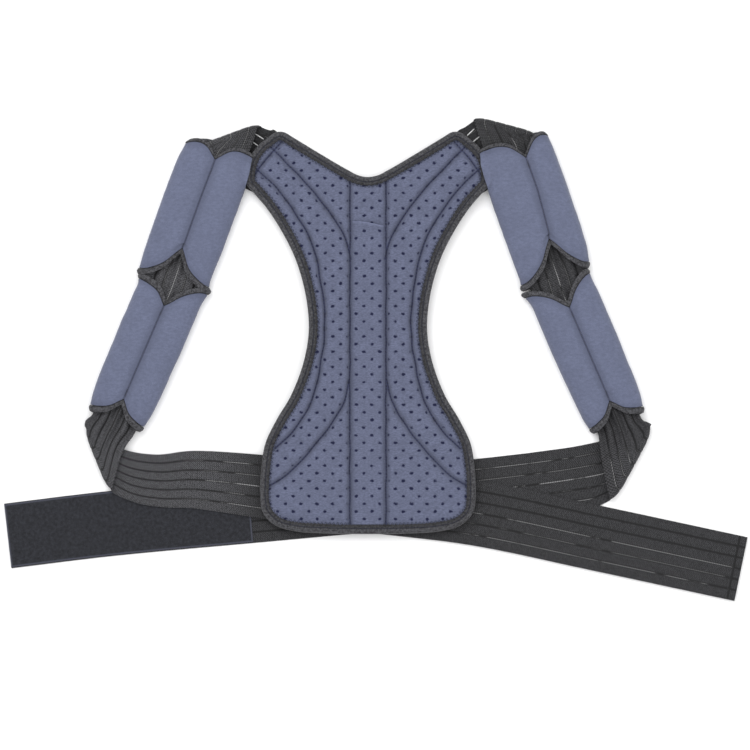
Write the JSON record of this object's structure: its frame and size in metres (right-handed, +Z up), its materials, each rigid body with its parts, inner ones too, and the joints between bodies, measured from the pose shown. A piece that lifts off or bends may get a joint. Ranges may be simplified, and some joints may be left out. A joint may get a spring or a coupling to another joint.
{
  "type": "posture corrector",
  "caption": "Padded hourglass back panel with two elastic straps that run through shoulder pads, fold, cross behind the panel and end in hook-and-loop belt ends.",
  "frame": {"origin": "middle of the whole part's footprint, on the surface that it lies on", "axes": "+Z up out of the surface, +Y towards the neck end of the back panel, +X towards the belt end with the hook patch"},
  "size_m": [0.8, 0.5254, 0.02],
  "materials": {
    "panel_fabric": "perforated brushed blue-grey fabric over foam",
    "pad_fabric": "plain brushed blue-grey fabric over foam",
    "binding": "dark grey woven edge binding",
    "webbing": "dark grey ribbed elastic webbing",
    "loop_pile": "dark napped loop pile",
    "hook_tape": "dark hook tape"
  },
  "bodies": {
    "root": {"back_panel": "panel_fabric", "panel_binding": "binding", "stay_pocket": "panel_fabric", "left_strap": "webbing", "right_strap": "webbing", "loop_patch": "loop_pile", "hook_patch": "hook_tape", "right_upper_pad": "pad_fabric", "right_upper_pad_top_binding": "binding", "right_upper_pad_end_binding": "binding", "right_lower_pad": "pad_fabric", "right_lower_pad_top_binding": "binding", "right_lower_pad_end_binding": "binding", "left_upper_pad": "pad_fabric", "left_upper_pad_top_binding": "binding", "left_upper_pad_end_binding": "binding", "left_lower_pad": "pad_fabric", "left_lower_pad_top_binding": "binding", "left_lower_pad_end_binding": "binding"}
  },
  "joints": []
}
